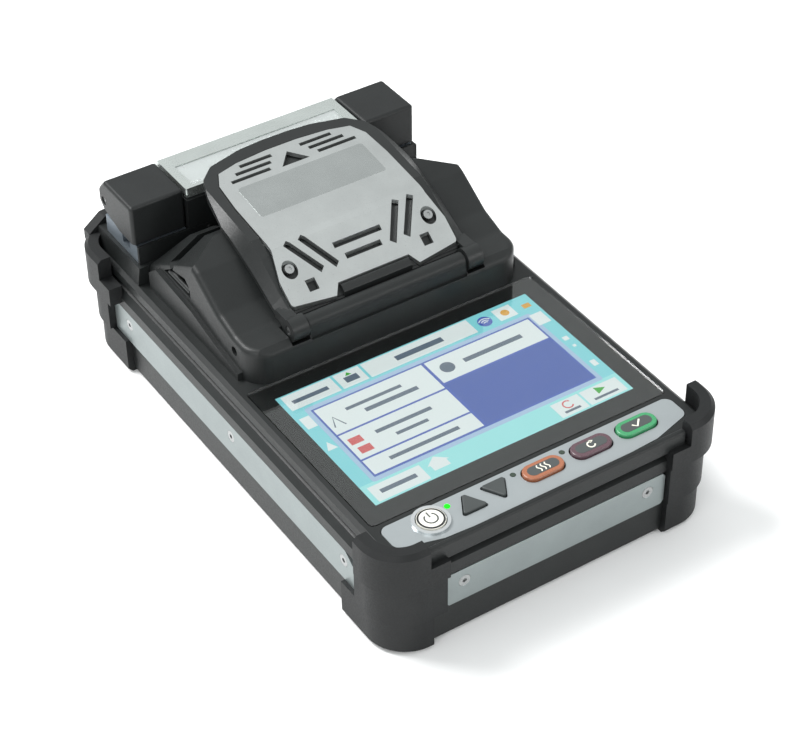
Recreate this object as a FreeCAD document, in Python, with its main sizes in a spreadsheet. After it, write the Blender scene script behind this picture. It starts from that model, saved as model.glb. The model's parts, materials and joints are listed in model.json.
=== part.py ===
import FreeCAD, Part
import math
import os
import re

import Sketcher

# Handheld fusion splicer, millimetres. +X right, +Y to the rear, +Z up, z = 0 under the feet.

SIZES = (
    ("case_half", 60.0, "side walls of the case from the middle plane"),
    ("case_end", 97.7, "rear wall of the case from the middle"),
    ("case_front", 96.7, "front wall of the lower case from the middle"),
    ("case_round", 11.0, "corner radius of the case"),
    ("wall", 2.2, "wall thickness of the case"),
    ("base_z", 1.4, "underside of the case, held off the table by the feet"),
    ("split_z", 27.0, "joint between the lower and the upper case"),
    ("deck_z", 39.5, "top of the upper case around the display"),
    ("rear_deck_z", 46.5, "top of the raised deck below the heater"),
    ("strip_face", 61.0, "outer face of the metal side strips"),
    ("strip_low", 13.8, "lower edge of the metal strips"),
    ("strip_high", 26.5, "upper edge of the metal strips"),
    ("strip_half", 79.6, "half length of the side strips"),
    ("front_strip_half", 41.8, "half length of the front strip"),
    ("tier_side", 62.5, "lower bumper tier, side face"),
    ("tier_end", 99.0, "lower bumper tier, end face"),
    ("tier_top", 29.0, "top of the upper bumper tier"),
    ("upper_tier_side", 63.5, "upper bumper tier, side face"),
    ("upper_tier_end", 99.5, "upper bumper tier, end face"),
    ("guard_side", 65.5, "corner guard, side face"),
    ("guard_end", 100.5, "corner guard, end face"),
    ("guard_top", 44.0, "top of the corner guards"),
    ("guard_wall", 5.0, "thickness of the corner guards"),
    ("glass_half", 56.0, "half width of the display glass"),
    ("glass_front", 78.6, "front edge of the glass, towards the user"),
    ("glass_rear", 4.3, "rear edge of the glass"),
    ("glass_top", 39.6, "upper face of the display glass"),
    ("glass_thick", 1.1, "thickness of the display glass"),
    ("glass_gap", 0.4, "air gap between the glass and the display module"),
    ("lcd_half", 50.2, "half width of the display module"),
    ("panel_half", 55.0, "half width of the key panel"),
    ("panel_top", 39.6, "upper face of the key panel"),
    ("panel_thick", 1.2, "thickness of the key panel"),
    ("key_row", 86.3, "distance of the key row from the middle, towards the user"),
    ("key_top", 40.7, "upper face of the keys"),
    ("key_foot", 37.7, "underside of the keys"),
    ("key_gap", 0.3, "gap round each key"),
    ("pill_length", 14.6, "length of the long keys"),
    ("pill_width", 7.0, "width of the long keys"),
    ("power_radius", 4.6, "radius of the power button"),
    ("hinge_z", 54.2, "height of the cover's hinge axis, which lies above y = 0"),
    ("hinge_half", 30.4, "half length of the fixed hinge barrel"),
    ("hinge_radius", 3.0, "outer radius of the hinge barrel"),
    ("boss_half", 37.0, "outer face of the cover's hinge bosses"),
    ("pin_radius", 1.5, "radius of the hinge pins"),
    ("pin_play", 0.05, "radial play round the hinge pins"),
    ("hood_half", 53.0, "outer side of the housing shoulders"),
    ("chamber_half", 31.0, "half width of the splice chamber"),
    ("chamber_front", 7.0, "front wall of the splice chamber"),
    ("chamber_rear", 60.0, "rear wall of the splice chamber"),
    ("chamber_floor", 44.5, "floor of the splice chamber"),
    ("frame_inner", 33.4, "upper edge of the cover frame's side walls"),
    ("frame_outer", 36.8, "lower edge of the cover frame's side walls"),
    ("plate_half", 32.2, "half width of the metal cover plate"),
    ("slot_width", 2.3, "width of the slots in the cover plate"),
    ("fibre_y", 50.0, "line of the fibre in the splice chamber"),
    ("fibre_z", 57.0, "height of the fibre in the splice chamber"),
    ("groove_width", 5.0, "width of the fibre grooves through the shoulders"),
    ("stage_top", 47.5, "top of the stage plate"),
    ("heater_front", 68.3, "front face of the heater's lid and clamps"),
    ("heater_top", 69.2, "top of the heater's lid and clamps"),
    ("lid_half", 35.3, "half width of the heater lid"),
    ("clamp_near", 36.2, "inner side of the heater clamps"),
    ("clamp_far", 56.6, "outer side of the heater clamps"),
    ("rod_y", 88.5, "axis of the heater's hinge rod"),
    ("rod_z", 61.0, "height of the heater's hinge rod"),
    ("trough_y", 76.5, "line of the sleeve in the heater"),
    ("bay_half", 38.2, "half width of the battery bay"),
    ("bay_front", 25.0, "inner end of the battery bay"),
    ("bay_low", 4.2, "floor of the battery bay"),
    ("bay_high", 24.2, "ceiling of the battery bay"),
    ("bay_gap", 0.4, "gap round the battery"),
    ("tripod_radius", 2.6, "radius of the tripod thread"),
    ("tripod_length", 8.0, "length of the tripod thread"),
    ("tripod_y", 20.0, "tripod insert, in front of the middle"),
)

doc = FreeCAD.newDocument("fusion_splicer")
sheet = doc.addObject("Spreadsheet::Sheet", "Sizes")
for line, (alias, value, note) in enumerate(SIZES, 1):
    sheet.set("A%d" % line, alias)
    sheet.set("B%d" % line, str(value))
    sheet.set("C%d" % line, note)
    sheet.setAlias("B%d" % line, alias)
doc.recompute()

SIZE_NAME = re.compile(r"[a-z][a-z_]*")
PLANES = {"xy": ("XY_Plane", "z", False), "xz": ("XZ_Plane", "y", True), "yz": ("YZ_Plane", "x", False)}
TURNS = {
    "x": FreeCAD.Rotation(FreeCAD.Vector(0, 1, 0), 90),
    "y": FreeCAD.Rotation(FreeCAD.Vector(1, 0, 0), -90),
    "z": FreeCAD.Rotation(),
}


# ---- helpers -------------------------------------------------------------------------------

def bind(obj, prop, value):
    """Bind a property to a number or to a formula of the sheet's names."""
    text = SIZE_NAME.sub(r"Sizes.\g<0>", value) if isinstance(value, str) else "%.4f" % value
    obj.setExpression(prop, text)


def place(obj, at):
    for axis, value in zip("xyz", at):
        bind(obj, "Placement.Base." + axis, value)


def minus(value):
    return "-(%s)" % value if isinstance(value, str) else -value


def span(low, high):
    return "(%s)-(%s)" % (high, low)


def box(name, xs, ys, zs):
    obj = doc.addObject("Part::Box", name)
    for prop, (low, high) in zip(("Length", "Width", "Height"), (xs, ys, zs)):
        bind(obj, prop, span(low, high))
    place(obj, (xs[0], ys[0], zs[0]))
    return obj


def cylinder(name, radius, length, at, axis="z"):
    obj = doc.addObject("Part::Cylinder", name)
    bind(obj, "Radius", radius)
    bind(obj, "Height", length)
    obj.Placement = FreeCAD.Placement(FreeCAD.Vector(), TURNS[axis])
    place(obj, at)
    return obj


def cone(name, low_radius, high_radius, length, at, turn):
    obj = doc.addObject("Part::Cone", name)
    bind(obj, "Radius1", low_radius)
    bind(obj, "Radius2", high_radius)
    bind(obj, "Height", length)
    obj.Placement = FreeCAD.Placement(FreeCAD.Vector(), turn)
    place(obj, at)
    return obj


def union(name, *parts):
    obj = doc.addObject("Part::MultiFuse", name)
    obj.Shapes = list(parts)
    return obj


def common(name, first, second):
    obj = doc.addObject("Part::Common", name)
    obj.Base = first
    obj.Tool = second
    return obj


def cut(name, base, *tools):
    obj = doc.addObject("Part::Cut", name)
    obj.Base = base
    obj.Tool = tools[0] if len(tools) == 1 else union(name + "_tools", *tools)
    return obj


def group(name, *parts):
    obj = doc.addObject("Part::Compound", name)
    obj.Links = list(parts)
    return obj


def mirrored(name, source, normal=(1, 0, 0)):
    obj = doc.addObject("Part::Mirroring", name)
    obj.Source = source
    obj.Normal = FreeCAD.Vector(*normal)
    return obj


def both_sides(name, part):
    """The part and its mirror image in the middle plane, as one compound."""
    return group(name, part, mirrored(name + "_other", part))


def outline(body, name, role, points, offset=None):
    """A closed outline of straight lines, each corner placed by two bound distances."""
    sketch = body.newObject("Sketcher::SketchObject", name)
    plane = next(item for item in body.Origin.OriginFeatures if item.Role == role)
    sketch.AttachmentSupport = (plane, "")
    sketch.MapMode = "FlatFace"
    if offset is not None:
        bind(sketch, "AttachmentOffset.Base.z", offset)
    count = len(points)
    turn = 2 * math.pi / count
    ring = [FreeCAD.Vector(50 * math.cos(turn * i), 50 * math.sin(turn * i), 0) for i in range(count)]
    for i in range(count):
        sketch.addGeometry(Part.LineSegment(ring[i], ring[(i + 1) % count]), False)
    for i in range(count):
        sketch.addConstraint(Sketcher.Constraint("Coincident", i, 2, (i + 1) % count, 1))
    for i, point in enumerate(points):
        for kind, value in zip(("DistanceX", "DistanceY"), point):
            start = ring[i].x if kind == "DistanceX" else ring[i].y
            index = sketch.addConstraint(Sketcher.Constraint(kind, -1, 1, i, 1, start))
            bind(sketch, "Constraints[%d]" % index, value)
    return sketch


def prism(name, plane, points, low, high):
    """An outline in a base plane, padded from low to high along the plane's normal."""
    role, axis, reverse = PLANES[plane]
    body = doc.addObject("PartDesign::Body", name)
    sketch = outline(body, name + "_outline", role, points)
    pad = body.newObject("PartDesign::Pad", name + "_pad")
    pad.Profile = sketch
    pad.Reversed = reverse
    bind(pad, "Length", span(low, high))
    bind(body, "Placement.Base." + axis, low)
    body.Tip = pad
    return body


def ruled(name, near_points, near, far_points, far):
    """A solid with straight edges between two YZ outlines at x = near and x = far."""
    body = doc.addObject("PartDesign::Body", name)
    first = outline(body, name + "_near", "YZ_Plane", near_points, near)
    second = outline(body, name + "_far", "YZ_Plane", far_points, far)
    loft = body.newObject("PartDesign::AdditiveLoft", name + "_loft")
    loft.Profile = first
    loft.Sections = [second]
    loft.Ruled = True
    body.Tip = loft
    return body


def along(axis):
    """Test for straight edges parallel to an axis."""
    way = {"x": FreeCAD.Vector(1, 0, 0), "y": FreeCAD.Vector(0, 1, 0), "z": FreeCAD.Vector(0, 0, 1)}[axis]

    def test(edge):
        first, last = edge.Vertexes[0].Point, edge.Vertexes[-1].Point
        run = last - first
        return run.Length > 1e-6 and abs(run.normalize().dot(way)) > 0.999
    return test


def soften(body, kind, size, test):
    """Add a PartDesign fillet or chamfer on the body's edges that pass the test."""
    doc.recompute()
    base = body.Tip
    names = ["Edge%d" % i for i, edge in enumerate(base.Shape.Edges, 1) if test(edge)]
    feature = body.newObject("PartDesign::" + kind, "%s_%s_%d" % (body.Name, kind, len(names)))
    feature.Base = (base, names)
    bind(feature, "Radius" if kind == "Fillet" else "Size", size)
    body.Tip = feature
    return body


def rectangle(xs, ys):
    return [(xs[0], ys[0]), (xs[1], ys[0]), (xs[1], ys[1]), (xs[0], ys[1])]


def rounded(name, xs, ys, zs, radius):
    """A plate with rounded upright corners."""
    return soften(prism(name, "xy", rectangle(xs, ys), *zs), "Fillet", radius, along("z"))


def slot(name, start, end, width, zs):
    """An upright rectangular cutter along a line in plan."""
    run = math.hypot(end[0] - start[0], end[1] - start[1])
    way = math.degrees(math.atan2(end[1] - start[1], end[0] - start[0]))
    cutter = doc.addObject("Part::Box", name)
    bind(cutter, "Length", run)
    bind(cutter, "Width", width)
    bind(cutter, "Height", span(*zs))
    turn = FreeCAD.Rotation(FreeCAD.Vector(0, 0, 1), way)
    cutter.Placement = FreeCAD.Placement(FreeCAD.Vector(), turn)
    half = sheet.get(width) / 2 if isinstance(width, str) else width / 2
    side = turn.multVec(FreeCAD.Vector(0, -half, 0))
    place(cutter, (start[0] + side.x, start[1] + side.y, zs[0]))
    return cutter


NODES = []


def node(name, obj):
    obj.Label = name
    NODES.append(obj)
    return obj


# ---- case ----------------------------------------------------------------------------------

STRIP_SCREW_Y = (-70.0, -1.0, 69.0)
STRIP_SCREW_X = (-35.0, 35.0)
SCREW_Z = 21.5
CASE_SCREWS = ((-51.0, -62.0), (51.0, -62.0), (-51.0, 62.0), (51.0, 62.0))


def lower_case():
    outer = rounded("lower_outer", ("-case_half", "case_half"), ("-case_front", "case_end"),
                    ("base_z", "split_z"), "case_round")
    hollow = rounded("lower_hollow", ("wall-case_half", "case_half-wall"),
                     ("wall-case_front", "case_end-wall"), ("base_z+wall", "split_z+1"), "case_round-wall")
    posts = [cylinder("lower_post_%d" % i, 4.0, "split_z-base_z", (x, y, "base_z"))
             for i, (x, y) in enumerate(CASE_SCREWS)]
    boss = cylinder("tripod_boss", 8.0, "tripod_length+3", (0, "-tripod_y", "base_z"))
    bay_box = box("bay_box", ("-bay_half-1.8", "bay_half+1.8"), ("bay_front-2", "case_end-1"),
                  ("base_z", "bay_high+1.6"))
    solid = union("lower_solid", cut("lower_shell", outer, hollow), boss, bay_box, *posts)
    tools = [box("bay", ("-bay_half", "bay_half"), ("bay_front", "case_end+1"), ("bay_low", "bay_high")),
             cylinder("tripod_pocket", 5.0, "tripod_length", (0, "-tripod_y", "base_z"))]
    for i, (x, y) in enumerate(CASE_SCREWS):
        tools.append(cylinder("lower_screw_hole_%d" % i, 1.7, "split_z", (x, y, 0)))
        tools.append(cylinder("lower_screw_sink_%d" % i, 3.0, 3.2, (x, y, "base_z")))
    for i, (part, at, axis) in enumerate(strip_screw_places()):
        tools.append(cylinder("lower_strip_hole_%d" % i, 1.2, 5.0, at, axis))
    return node("lower_case", cut("lower_case", solid, *tools))


def strip_screw_places():
    """Inner end and axis of each strip screw's clearance in the case wall."""
    places = []
    for y in STRIP_SCREW_Y:
        places.append(("left", ("-case_half-1", y, SCREW_Z), "x"))
        places.append(("right", ("case_half-4", y, SCREW_Z), "x"))
    for x in STRIP_SCREW_X:
        places.append(("front", (x, "-case_front-1", SCREW_Z), "y"))
    return places


def strips_and_screws():
    profile = [("-strip_half", "strip_low"), ("strip_half", "strip_low"), ("strip_half", "strip_high"),
               ("8.5-strip_half", "strip_high"), ("-strip_half", "strip_high-6.5")]
    left = prism("left_strip_blank", "yz", profile, "-strip_face", "-case_half")
    front = prism("front_strip_blank", "xz", rectangle(("-front_strip_half", "front_strip_half"),
                  ("strip_low", "strip_high")), "-case_front-1", "-case_front")
    soften(front, "Chamfer", 1.2, along("y"))
    out_left = FreeCAD.Rotation(FreeCAD.Vector(0, 1, 0), -90)
    out_front = FreeCAD.Rotation(FreeCAD.Vector(1, 0, 0), 90)
    sinks = [cone("left_sink_%d" % i, 1.25, 2.25, 1.0, ("-case_half", y, SCREW_Z), out_left)
             for i, y in enumerate(STRIP_SCREW_Y)]
    left_strip = cut("side_strip_left", left, *sinks)
    node("side_strip_left", left_strip)
    node("side_strip_right", mirrored("side_strip_right", left_strip))
    sinks = [cone("front_sink_%d" % i, 1.25, 2.25, 1.0, (x, "-case_front", SCREW_Z), out_front)
             for i, x in enumerate(STRIP_SCREW_X)]
    node("front_strip", cut("front_strip", front, *sinks))
    left_screws = []
    for i, y in enumerate(STRIP_SCREW_Y):
        head = cone("left_head_%d" % i, 1.15, 2.1, 0.95, ("-case_half", y, SCREW_Z), out_left)
        shank = cylinder("left_shank_%d" % i, 1.15, 3.5, ("-case_half", y, SCREW_Z), "x")
        drive = cylinder("left_drive_%d" % i, 0.75, 1.2, ("-strip_face-0.2", y, SCREW_Z), "x")
        left_screws.append(cut("left_screw_%d" % i, union("left_screw_solid_%d" % i, head, shank), drive))
    front_screws = []
    for i, x in enumerate(STRIP_SCREW_X):
        head = cone("front_head_%d" % i, 1.15, 2.1, 0.95, (x, "-case_front", SCREW_Z), out_front)
        shank = cylinder("front_shank_%d" % i, 1.15, 3.5, (x, "-case_front", SCREW_Z), "y")
        drive = cylinder("front_drive_%d" % i, 0.75, 1.2, (x, "-case_front-1.2", SCREW_Z), "y")
        front_screws.append(cut("front_screw_%d" % i, union("front_screw_solid_%d" % i, head, shank), drive))
    right_screws = [mirrored("right_screw_%d" % i, screw) for i, screw in enumerate(left_screws)]
    node("strip_screws", group("strip_screws", *left_screws, *right_screws, *front_screws))


def case_screws():
    screws = []
    for i, (x, y) in enumerate(CASE_SCREWS):
        head = cylinder("case_screw_head_%d" % i, 2.8, 1.8, (x, y, "base_z+1.4"))
        shank = cylinder("case_screw_shank_%d" % i, 1.6, 28.0, (x, y, "base_z+3.2"))
        drive = cylinder("case_screw_drive_%d" % i, 1.1, 1.2, (x, y, "base_z+1.2"))
        screws.append(cut("case_screw_%d" % i, union("case_screw_solid_%d" % i, head, shank), drive))
    return node("case_screws", group("case_screws", *screws))


def tripod_insert():
    sleeve = cylinder("tripod_sleeve", 5.0, "tripod_length", (0, "-tripod_y", "base_z"))
    thread = cylinder("tripod_thread", "tripod_radius", "tripod_length+2", (0, "-tripod_y", "base_z-1"))
    return node("tripod_insert", cut("tripod_insert", sleeve, thread))


def upper_solid():
    """Outer form of the upper case: side profile crossed with the end profile."""
    half = [("case_half+1.2", "split_z"), ("case_half+1.2", "split_z+4"), ("case_half-0.6", "split_z+6.4"),
            ("case_half-1.6", "split_z+6.8"), ("case_half-1.6", "split_z+8"), ("case_half-0.6", "split_z+8.6"),
            ("case_half-0.8", "deck_z-1.1"), ("case_half-2.2", "deck_z"), ("case_half-3.2", "rear_deck_z")]
    other = [(minus(x), z) for x, z in reversed(half)]
    ends = prism("upper_ends", "xz", half + other, "-case_end-1", "case_end+1")
    sides = [("-case_end", "split_z"), ("-case_end", "split_z+4.6"), ("1.7-case_end", "split_z+5.4"),
             ("1.7-case_end", "split_z+7.2"), ("0.2-case_end", "split_z+7.7"), ("0.2-case_end", "deck_z"),
             (65.2, "deck_z"), (65.2, "rear_deck_z"), ("case_end", "rear_deck_z"), ("case_end", "split_z")]
    side = prism("upper_sides", "yz", sides, "-case_half-2", "case_half+2")
    soften(side, "Fillet", 2.0, lambda edge: along("x")(edge) and edge.BoundBox.YMin > 90
           and edge.BoundBox.ZMin > 40)
    plan = rounded("upper_plan", ("-case_half-1.3", "case_half+1.3"), ("-case_end-0.1", "case_end+0.1"),
                   ("split_z-1", "rear_deck_z+1"), "case_round+1")
    bead = prism("front_bead", "yz", rectangle(("-case_end-0.7", "1.6-case_end"),
                 ("split_z+7.6", "deck_z+1.8")), -48.0, 48.0)
    soften(bead, "Fillet", 1.0, along("x"))
    return union("upper_solid", common("upper_form", common("upper_block", ends, side), plan), bead)


def upper_case(solid):
    tools = [
        rounded("upper_hollow", ("4-case_half", "case_half-4"), ("wall-case_front", "case_end-wall"),
                ("split_z-1", "deck_z-2.9"), "case_round-4"),
        box("rear_hollow", (-52.0, 52.0), (67.0, "case_end-3"), ("deck_z-4", "rear_deck_z-2.4")),
        rounded("glass_seat", ("-glass_half-0.2", "glass_half+0.2"), ("-glass_front-0.2", "0.2-glass_rear"),
                ("glass_top-glass_thick-glass_gap", "deck_z+1"), 2.0),
        box("lcd_window", ("-lcd_half-0.4", "lcd_half+0.4"), (-72.0, -9.7), ("split_z+6", "deck_z+1")),
        key_panel_blank("panel_seat", 0.2, "panel_top-panel_thick-0.1", "deck_z+1"),
        box("keypad_window", (-48.0, 48.0), (-92.3, -80.9), ("split_z+6", "deck_z+1")),
        box("stage_window", (-26.0, 26.0), (14.0, 54.0), ("split_z+6", "deck_z+1")),
        box("port_pocket", (-15.0, 15.0), ("case_end-5", "case_end+1"), ("split_z+2.6", "split_z+9.4")),
    ]
    case = cut("upper_blank", solid, *tools)
    bosses = []
    for i, (x, y) in enumerate(CASE_SCREWS):
        boss = cylinder("upper_boss_%d" % i, 4.0, "deck_z-split_z-2", (x, y, "split_z"))
        hole = cylinder("upper_screw_hole_%d" % i, 1.7, 8.0, (x, y, "split_z-0.5"))
        bosses.append(cut("upper_boss_solid_%d" % i, boss, hole))
    keep = [boss for boss, (x, y) in zip(bosses, CASE_SCREWS) if y > 0]
    front = [cut("front_boss_%d" % i, boss, box("lcd_clear_%d" % i, (-54.0, 54.0), (-80.0, -40.0),
             ("split_z+6.5", "deck_z"))) for i, boss in enumerate(bosses[:2])]
    return node("upper_case", union("upper_case", case, *keep, *front))


def corner_bumper(name, inner_x, quadrant, keep_out):
    """Two rubber tiers round a lower corner, with the foot that the case stands on."""
    low = prism(name + "_low", "xy", rectangle((inner_x, "tier_side"), (70.5, "tier_end")), 0, "strip_low")
    soften(low, "Fillet", 14.0, lambda edge: along("z")(edge) and edge.BoundBox.XMax > 60
           and edge.BoundBox.YMax > 95)
    soften(low, "Chamfer", 1.6, lambda edge: edge.BoundBox.ZMax < 0.01 and edge.BoundBox.XMax > 49
           and (edge.BoundBox.YMin > 71 or edge.BoundBox.XMin > 60) and edge.BoundBox.XMin > 40)
    high = prism(name + "_high", "xy", rectangle((42.4, "upper_tier_side"), (79.9, "upper_tier_end")),
                 "strip_low", "tier_top")
    soften(high, "Fillet", 14.0, lambda edge: along("z")(edge) and edge.BoundBox.XMax > 60
           and edge.BoundBox.YMax > 95)
    solid = union(name + "_solid", low, high)
    if quadrant[0] < 0:
        solid = mirrored(name + "_x", solid)
    if quadrant[1] < 0:
        solid = mirrored(name + "_y", solid, (0, 1, 0))
    return node(name, cut(name, solid, *keep_out))


def corner_guard(name, rear, left, keep_out):
    """Raised rubber corner wall round the upper case."""
    outer = prism(name + "_outer", "xy", rectangle((42.0, "guard_side"), (73.0, "guard_end")),
                  "tier_top", "guard_top")
    soften(outer, "Fillet", 14.0, lambda edge: along("z")(edge) and edge.BoundBox.XMax > 60
           and edge.BoundBox.YMax > 95)
    soften(outer, "Chamfer", 1.5, lambda edge: edge.BoundBox.ZMin > 14.9 and edge.BoundBox.YMax > 80
           and (edge.BoundBox.YMin > 99 or edge.BoundBox.XMin > 51))
    inner = prism(name + "_inner", "xy", rectangle((30.0, "guard_side-guard_wall"),
                  (60.0, "guard_end-guard_wall")), "tier_top-1", "guard_top+9")
    soften(inner, "Fillet", 9.0, lambda edge: along("z")(edge) and edge.BoundBox.XMax > 50
           and edge.BoundBox.YMax > 90)
    end_cut = box(name + "_end_cut", (30.0, 49.0), (90.0, 110.0), ("tier_top+7", "guard_top+9"))
    side_end, side_low = (80.0, "tier_top+7") if rear else (83.0, "tier_top-1")
    side_cut = box(name + "_side_cut", (50.0, 70.0), (60.0, side_end), (side_low, "guard_top+9"))
    solid = cut(name + "_wall", outer, inner, end_cut, side_cut)
    if rear:
        crown_side = [(46.5, "guard_top-4"), (46.5, "guard_top+5.5"), (54.0, "guard_top+5"), (60.5, "guard_top"),
                      (60.5, "guard_top-4")]
        crown = prism(name + "_crown", "xz", crown_side, "guard_end-guard_wall", "guard_end-0.8")
        solid = union(name + "_raised", solid, crown)
    if left:
        solid = mirrored(name + "_x", solid)
    if not rear:
        solid = mirrored(name + "_y", solid, (0, 1, 0))
    return node(name, cut(name, solid, *keep_out))


# ---- display and keys ----------------------------------------------------------------------

def display():
    node("display_glass", rounded("display_glass", ("-glass_half", "glass_half"), ("-glass_front", "-glass_rear"),
                                  ("glass_top-glass_thick", "glass_top"), 1.8))
    node("display_module", box("display_module", ("-lcd_half", "lcd_half"), (-71.6, -10.1),
                               ("split_z+6.6", "glass_top-glass_thick-glass_gap")))


def key_panel_blank(name, grow, low, high):
    """Outline of the key panel: straight towards the display, bowed towards the user."""
    wide = "panel_half+%.1f" % grow
    half = [(wide, -80.5 + grow), (wide, -90.4 - grow), (40.0, -94.6 - grow), (20.0, -95.7 - grow)]
    other = [(minus(x), y) for x, y in reversed(half)]
    return soften(prism(name, "xy", half + other, low, high), "Fillet", 3.0, along("z"))


PILL_KEYS = (("heat_key", 1.9), ("reset_key", 20.3), ("set_key", 38.0))
ARROW_KEYS = (("up_key", -25.6, 1), ("down_key", -14.8, -1))
POWER_X = -39.6
LAMPS = ((-32.0, -83.6), (-7.3, -83.2), (11.3, -83.2))


def arrow_blank(name, x, way, grow, low, high):
    reach, base = 4.3 + grow * 1.9, 4.6 + grow * 1.9
    points = [(x - base, "-key_row-(%.3f)" % (way * (3.7 + grow))),
              (x + base, "-key_row-(%.3f)" % (way * (3.7 + grow))),
              (x, "-key_row+(%.3f)" % (way * reach))]
    return soften(prism(name, "xy", points, low, high), "Fillet", 0.8, along("z"))


def pill_blank(name, x, grow, low, high):
    return rounded(name, ("%.2f-pill_length/2-%.2f" % (x, grow), "%.2f+pill_length/2+%.2f" % (x, grow)),
                   ("-key_row-pill_width/2-%.2f" % grow, "-key_row+pill_width/2+%.2f" % grow),
                   (low, high), "pill_width/2-0.05")


def keys_and_panel():
    panel = key_panel_blank("panel_blank", 0.0, "panel_top-panel_thick", "panel_top")
    cuts = [cylinder("power_hole", "power_radius+key_gap", 5.0, (POWER_X, "-key_row", "panel_top-3"))]
    for name, x in PILL_KEYS:
        cuts.append(pill_blank(name + "_hole", x, 0.3, "panel_top-3", "panel_top+2"))
    for name, x, way in ARROW_KEYS:
        cuts.append(arrow_blank(name + "_hole", x, way, 0.3, "panel_top-3", "panel_top+2"))
    for i, (x, y) in enumerate(LAMPS):
        cuts.append(cylinder("lamp_hole_%d" % i, 1.0, 5.0, (x, y, "panel_top-3")))
    node("key_panel", cut("key_panel", panel, *cuts))
    for name, x in PILL_KEYS:
        body = pill_blank(name, x, 0.0, "key_foot", "key_top")
        soften(body, "Fillet", 0.5, lambda edge: edge.BoundBox.ZMin > 2.9)
        node(name, body)
    for name, x, way in ARROW_KEYS:
        body = arrow_blank(name, x, way, 0.0, "key_foot", "key_top-0.2")
        soften(body, "Fillet", 0.35, lambda edge: edge.BoundBox.ZMin > 2.7)
        node(name, body)
    node("power_button", cylinder("power_button", "power_radius", "key_top-key_foot",
                                  (POWER_X, "-key_row", "key_foot")))
    ring = cylinder("bezel_ring", 6.1, 0.8, (POWER_X, "-key_row", "panel_top"))
    bore = cylinder("bezel_bore", "power_radius+key_gap+0.1", 3.0, (POWER_X, "-key_row", "panel_top-1"))
    node("power_bezel", cut("power_bezel", ring, bore))
    node("indicator_lamps", group("indicator_lamps", *[
        cylinder("lamp_%d" % i, 0.9, 2.6, (x, y, "panel_top-2.5")) for i, (x, y) in enumerate(LAMPS)]))
    node("keypad_mat", box("keypad_mat", (-47.0, 47.0), (-91.8, -81.4), ("key_foot-2", "key_foot-0.8")))


# ---- splice housing ------------------------------------------------------------------------

HOOD_FOOT = 64.9
CREST = FreeCAD.Vector(40.0, 41.0, 68.3)
CREST_NORMAL = FreeCAD.Vector(0.468, 0.447, 0.775)


def hood_form():
    """Housing with a rising front, a crest, and shoulders that fall outwards and to the rear."""
    profile = [(-4.0, "deck_z"), (-4.0, 50.4), (-1.4, 52.5), (8.0, 52.8), (17.5, 55.9), (31.0, 64.2),
               (41.0, 68.3), (58.4, 58.2), (HOOD_FOOT, 46.8), (HOOD_FOOT, "deck_z")]
    body = prism("hood_form", "yz", profile, "-hood_half", "hood_half")
    soften(body, "Fillet", 6.0, lambda edge: along("x")(edge) and 2 < edge.BoundBox.YMin < 36)
    half = sheet.get("hood_half")
    for side in (1, -1):
        normal = FreeCAD.Vector(CREST_NORMAL.x * side, CREST_NORMAL.y, CREST_NORMAL.z)
        turn = FreeCAD.Rotation(FreeCAD.Vector(0, 0, 1), normal)
        cutter = body.newObject("PartDesign::SubtractiveBox", "shoulder_cut_%d" % (side + 1))
        bind(cutter, "Length", 120.0)
        bind(cutter, "Width", 160.0)
        bind(cutter, "Height", 40.0)
        corner = FreeCAD.Vector(half + CREST.x * side, CREST.y, CREST.z)
        corner = corner - turn.multVec(FreeCAD.Vector(60.0, 80.0, 0.0))
        cutter.Placement = FreeCAD.Placement(corner, turn)
        body.Tip = cutter
    soften(body, "Fillet", 8.0, lambda edge: along("z")(edge) and edge.BoundBox.YMax < -3.9)
    soften(body, "Fillet", 2.2, lambda edge: edge.BoundBox.ZMin > 46.0 and edge.Length > 0.5 and (
        edge.BoundBox.XMin > 2 * half - 8.1 or edge.BoundBox.XMax < 8.1) and not along("x")(edge)
        and not along("z")(edge))
    return body


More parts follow.
